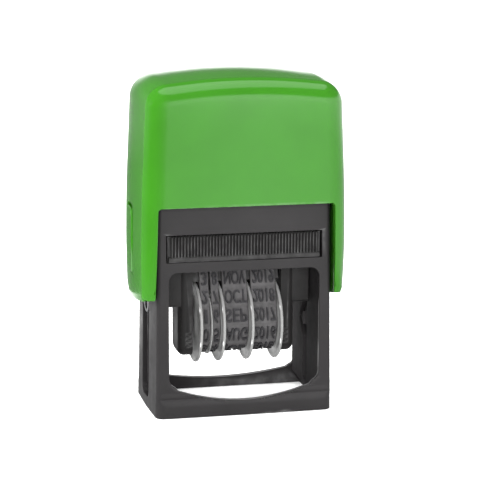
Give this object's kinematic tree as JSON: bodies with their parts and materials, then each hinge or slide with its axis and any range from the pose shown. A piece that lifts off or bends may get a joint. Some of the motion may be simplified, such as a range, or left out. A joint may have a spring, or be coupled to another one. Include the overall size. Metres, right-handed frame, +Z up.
{
  "type": "rotary date stamp",
  "caption": "Hand-held self-inking date stamp: press-down cover on a dark base, turn-over unit with thumb-set date bands, and a pull-out ink pad.",
  "frame": {"origin": "centre of the base's underside, in the plane of the paper it stands on", "axes": "+X to the right seen from the ink pad's side, +Y to the rear, +Z up towards the cover's top"},
  "size_m": [0.0494, 0.0312, 0.0806],
  "materials": {
    "cover_plastic": "glossy moulded, green",
    "base_plastic": "fine-grained, charcoal",
    "carrier_plastic": "satin, black",
    "wheel_plastic": "satin, light grey",
    "band_rubber": "matte, dark grey",
    "steel": "drawn",
    "pad_felt": "inked foam pad"
  },
  "bodies": {
    "base": {"base_frame": "base_plastic", "return_spring": "steel"},
    "ink_pad": {"ink_pad_tray": "base_plastic", "ink_pad_felt": "pad_felt"},
    "cover": {"cover_shell": "cover_plastic", "bail_bracket": "steel"},
    "lock_left": {"lock_button_left": "cover_plastic"},
    "lock_right": {"lock_button_right": "cover_plastic"},
    "date_unit": {"cheek_left": "carrier_plastic", "cheek_right": "carrier_plastic", "platen": "carrier_plastic", "wheel_axle": "steel", "washer_left": "steel", "washer_right": "steel", "separator_disc": "wheel_plastic", "band_day_tens": "band_rubber", "band_day_units": "band_rubber", "band_month": "band_rubber", "band_year": "band_rubber"},
    "thumbwheel_day_tens": {"wheel_day_tens": "wheel_plastic"},
    "thumbwheel_day_units": {"wheel_day_units": "wheel_plastic"},
    "thumbwheel_month": {"wheel_month": "wheel_plastic"},
    "thumbwheel_year": {"wheel_year": "wheel_plastic"}
  },
  "joints": [
    {"name": "cover_press", "type": "slide", "parent": "base", "child": "cover", "axis": [0, 0, -1], "range_m": [0, 0.01855], "stiffness_N_per_m": 600, "springref_m": -0.008, "deforming": ["return_spring"]},
    {"name": "unit_turn", "type": "hinge", "parent": "cover", "child": "date_unit", "pos_m": [0, 0, 0.02835], "axis": [1, 0, 0], "range_deg": [0, 180]},
    {"name": "pad_slide", "type": "slide", "parent": "base", "child": "ink_pad", "axis": [0, 1, 0], "range_m": [-0.026, 0]},
    {"name": "lock_left_press", "type": "hinge", "parent": "cover", "child": "lock_left", "pos_m": [-0.0224, 0, 0.0327], "axis": [0, 1, 0], "range_deg": [0, 3.5], "stiffness_Nm_per_rad": 1.2},
    {"name": "lock_right_press", "type": "hinge", "parent": "cover", "child": "lock_right", "pos_m": [0.0224, 0, 0.0327], "axis": [0, -1, 0], "range_deg": [0, 3.5], "stiffness_Nm_per_rad": 1.2},
    {"name": "day_tens_turn", "type": "hinge", "parent": "date_unit", "child": "thumbwheel_day_tens", "pos_m": [0, 0, 0.02], "axis": [1, 0, 0], "continuous": true},
    {"name": "day_units_turn", "type": "hinge", "parent": "date_unit", "child": "thumbwheel_day_units", "pos_m": [0, 0, 0.02], "axis": [1, 0, 0], "continuous": true},
    {"name": "month_turn", "type": "hinge", "parent": "date_unit", "child": "thumbwheel_month", "pos_m": [0, 0, 0.02], "axis": [1, 0, 0], "continuous": true},
    {"name": "year_turn", "type": "hinge", "parent": "date_unit", "child": "thumbwheel_year", "pos_m": [0, 0, 0.02], "axis": [1, 0, 0], "continuous": true}
  ],
  "couplings": [
    {"joint": "unit_turn", "follows": "cover_press", "rad_per_m": 169.35}
  ]
}
